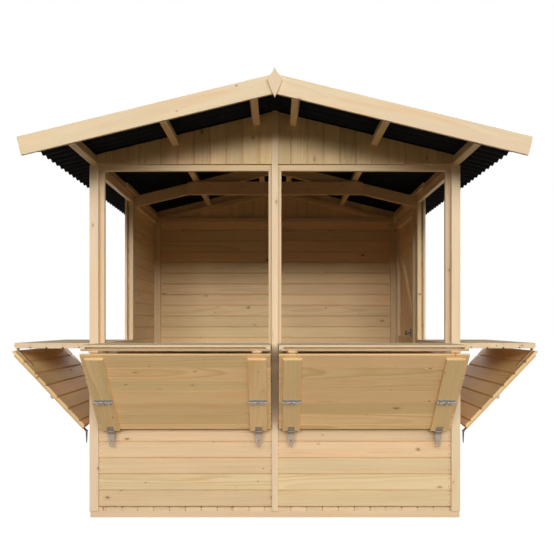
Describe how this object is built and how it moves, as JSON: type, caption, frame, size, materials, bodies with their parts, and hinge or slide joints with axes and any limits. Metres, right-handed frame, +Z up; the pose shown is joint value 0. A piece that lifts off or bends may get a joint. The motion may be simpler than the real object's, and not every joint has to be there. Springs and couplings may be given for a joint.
{
  "type": "wooden market stall",
  "caption": "Framed and boarded timber market stall with a corrugated gable roof, open service windows, folding shutters that drop to form counters, and a side door.",
  "frame": {"origin": "on the ground, at the centre of the four walls", "axes": "+Z up, -Y out of the front wall, +X towards the wall with the door"},
  "size_m": [3.143, 2.932, 2.4902],
  "materials": {
    "trim": "planed pine",
    "framing": "planed pine",
    "wall_boards": "planed pine",
    "shutter_wood": "planed pine",
    "door_wood": "planed pine",
    "floor_wood": "planed pine",
    "roofing": "black bitumen fibre sheet",
    "zinc_steel": "zinc plated",
    "door_steel": "dull zinc"
  },
  "bodies": {
    "stall": {"corner_trims": "trim", "cover_strips": "trim", "front_bargeboards": "trim", "back_bargeboards": "trim", "finials": "trim", "front_posts": "framing", "front_rails": "framing", "back_posts": "framing", "back_rails": "framing", "gable_rafters": "framing", "right_posts": "framing", "right_rails": "framing", "left_posts": "framing", "left_rails": "framing", "side_headers": "framing", "door_posts": "framing", "door_frame_rails": "framing", "purlins": "framing", "purlin_splices": "framing", "truss_rafters": "framing", "collar_tie": "framing", "front_wall": "wall_boards", "front_gable": "wall_boards", "back_wall": "wall_boards", "back_gable": "wall_boards", "right_wall_low": "wall_boards", "left_wall_low": "wall_boards", "left_wall_rear": "wall_boards", "wall_before_door": "wall_boards", "wall_over_door": "wall_boards", "wall_after_door": "wall_boards", "front_counters": "shutter_wood", "side_counters": "shutter_wood", "front_flaps": "shutter_wood", "side_flaps": "shutter_wood", "front_flap_battens": "shutter_wood", "side_flap_battens": "shutter_wood", "floor_bearers": "floor_wood", "floor_boards": "floor_wood", "roof_sheet_right": "roofing", "roof_sheet_left": "roofing", "ridge_cap": "roofing", "sill_hinges": "zinc_steel", "flap_hinges": "zinc_steel", "flap_bolts": "zinc_steel", "flap_hasps": "zinc_steel", "door_pintles": "door_steel", "lock_keeper": "door_steel"},
    "door": {"door_leaf": "door_wood", "door_ledges": "door_wood", "door_bands": "door_steel", "door_lock": "door_steel"}
  },
  "joints": [
    {"name": "door_hinge", "type": "hinge", "parent": "stall", "child": "door", "pos_m": [1.1055, 0.865, 1], "axis": [0, 0, 1], "range_deg": [0, 110]}
  ]
}
